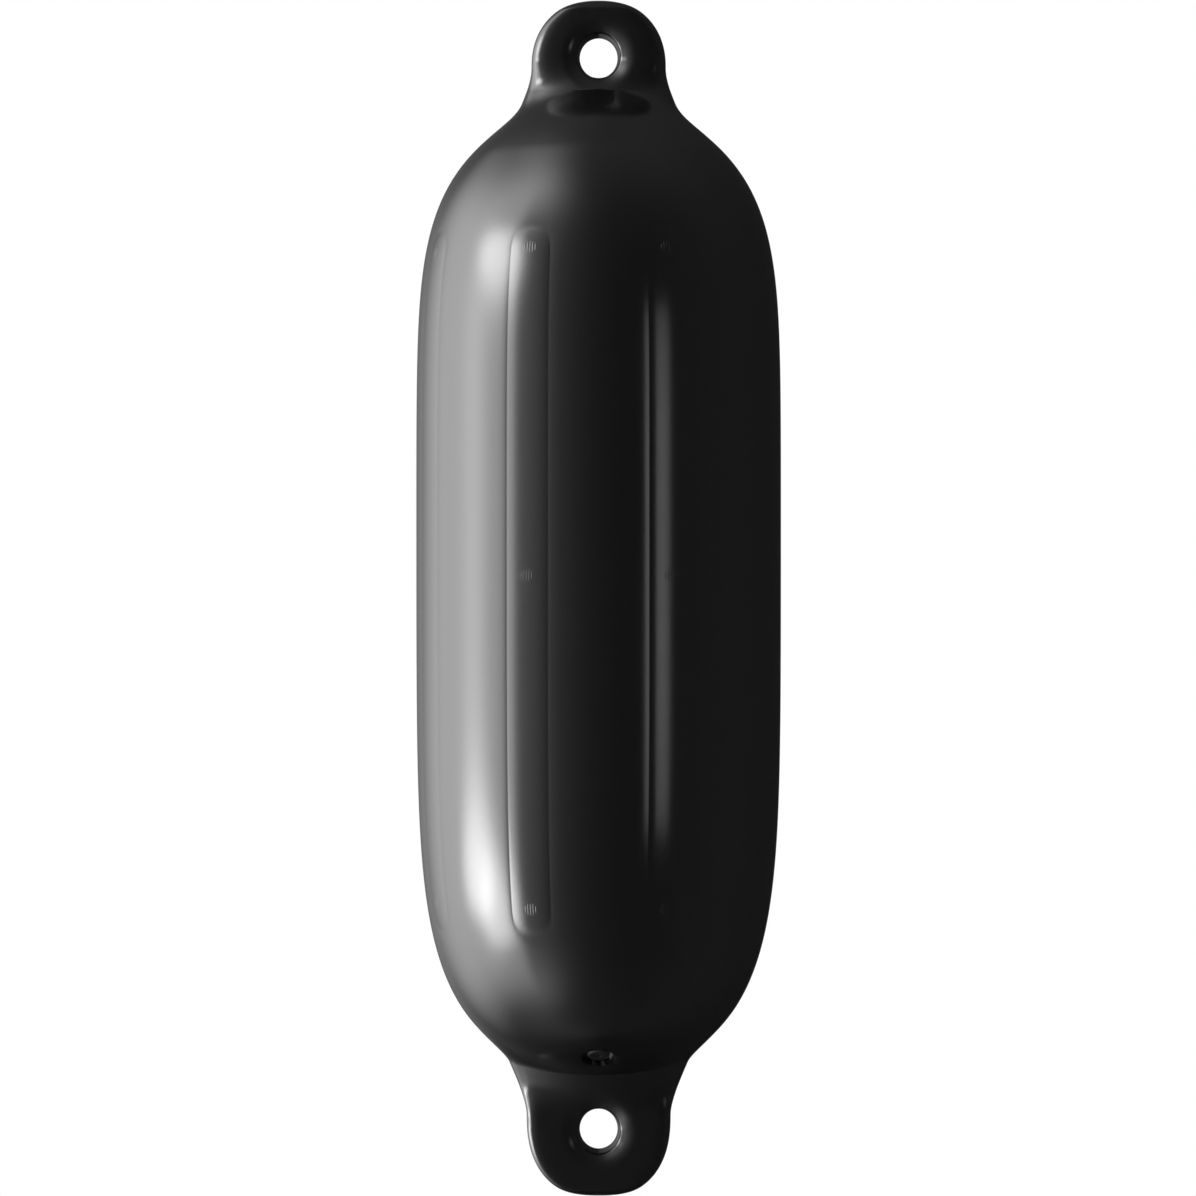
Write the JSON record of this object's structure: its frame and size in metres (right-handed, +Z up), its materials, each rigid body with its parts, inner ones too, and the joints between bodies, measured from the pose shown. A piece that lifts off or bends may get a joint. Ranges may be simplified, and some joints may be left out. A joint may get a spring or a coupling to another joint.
{
  "type": "boat fender",
  "caption": "Cylindrical inflatable boat fender in glossy black vinyl, with low lengthwise ribs, domed shoulders, a moulded rope eye at each end and an air valve near the lower eye.",
  "frame": {"origin": "centre of the top eye's rope hole, halfway through the eye's thickness", "axes": "+Z up along the fender's length, towards the end of the top eye; +Y along the rope holes, so that -Y is the front, where the valve is; +X across the eyes"},
  "size_m": [0.168, 0.168, 0.55],
  "materials": {
    "black_vinyl": "gloss",
    "valve_rubber": "satin"
  },
  "bodies": {
    "root": {"fender_body": "black_vinyl", "air_valve": "valve_rubber"}
  },
  "joints": []
}
